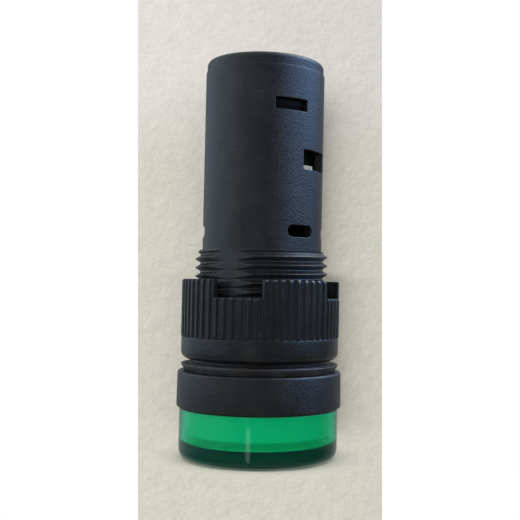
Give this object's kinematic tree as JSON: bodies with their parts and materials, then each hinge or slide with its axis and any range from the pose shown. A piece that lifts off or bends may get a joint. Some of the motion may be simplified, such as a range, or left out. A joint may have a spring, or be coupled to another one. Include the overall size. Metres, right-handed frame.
{
  "type": "panel pilot light",
  "caption": "Round panel pilot light with a green lens, black bezel, threaded neck with fluted ring nut, and a barrel ending in screw terminals.",
  "frame": {"origin": "centre of the lens face, on which the light stands", "axes": "+Z along the axis from the lens to the rear terminals; -Y is the side that the picture shows"},
  "size_m": [0.0272, 0.0272, 0.0652],
  "materials": {
    "black_plastic": "satin moulded, fine grain",
    "green_lens": "clear tinted, polished",
    "diffuser_plastic": "translucent, matt",
    "black_rubber": "matt",
    "ivory_plastic": "satin moulded",
    "circuit_board": "solder mask",
    "led_epoxy": "clear epoxy",
    "black_epoxy": "moulded epoxy",
    "capacitor_sleeve": "shrink sleeve",
    "resistor_body": "lacquered",
    "tinned_wire": "tinned",
    "terminal_brass": "nickel plated",
    "zinc_steel": "zinc plated"
  },
  "bodies": {
    "housing": {"housing": "black_plastic", "terminal_base": "black_plastic", "lens_cap": "green_lens", "diffuser": "diffuser_plastic", "lens_seal": "black_rubber", "gasket": "black_rubber", "board_carrier": "ivory_plastic", "led_board": "circuit_board", "driver_board": "circuit_board", "smoothing_capacitor": "capacitor_sleeve", "bridge_rectifier": "black_epoxy", "resistor_1": "resistor_body", "resistor_2": "resistor_body", "link_pin_1": "tinned_wire", "link_pin_2": "tinned_wire", "terminal_plate_1": "terminal_brass", "terminal_plate_2": "terminal_brass", "led_1": "led_epoxy", "led_2": "led_epoxy", "led_3": "led_epoxy", "led_4": "led_epoxy", "led_5": "led_epoxy", "led_6": "led_epoxy"},
    "ring_nut": {"ring_nut": "black_plastic"},
    "clamp_washer_1": {"clamp_washer_1": "zinc_steel"},
    "clamp_washer_2": {"clamp_washer_2": "zinc_steel"},
    "terminal_screw_1": {"terminal_screw_1": "zinc_steel"},
    "terminal_screw_2": {"terminal_screw_2": "zinc_steel"}
  },
  "joints": [
    {"name": "ring_nut_travel", "type": "slide", "parent": "housing", "child": "ring_nut", "axis": [0, 0, 1], "range_m": [-0.0005, 0.0178]},
    {"name": "clamp_1_lift", "type": "slide", "parent": "housing", "child": "clamp_washer_1", "axis": [0, 0, 1], "range_m": [0, 0.00201]},
    {"name": "screw_1_turn", "type": "hinge", "parent": "clamp_washer_1", "child": "terminal_screw_1", "pos_m": [-0.0043, 0, 0.0584], "axis": [0, 0, 1], "range_deg": [0, 1440]},
    {"name": "clamp_2_lift", "type": "slide", "parent": "housing", "child": "clamp_washer_2", "axis": [0, 0, 1], "range_m": [0, 0.00201]},
    {"name": "screw_2_turn", "type": "hinge", "parent": "clamp_washer_2", "child": "terminal_screw_2", "pos_m": [0.0043, 0, 0.0584], "axis": [0, 0, 1], "range_deg": [0, 1440]}
  ]
}
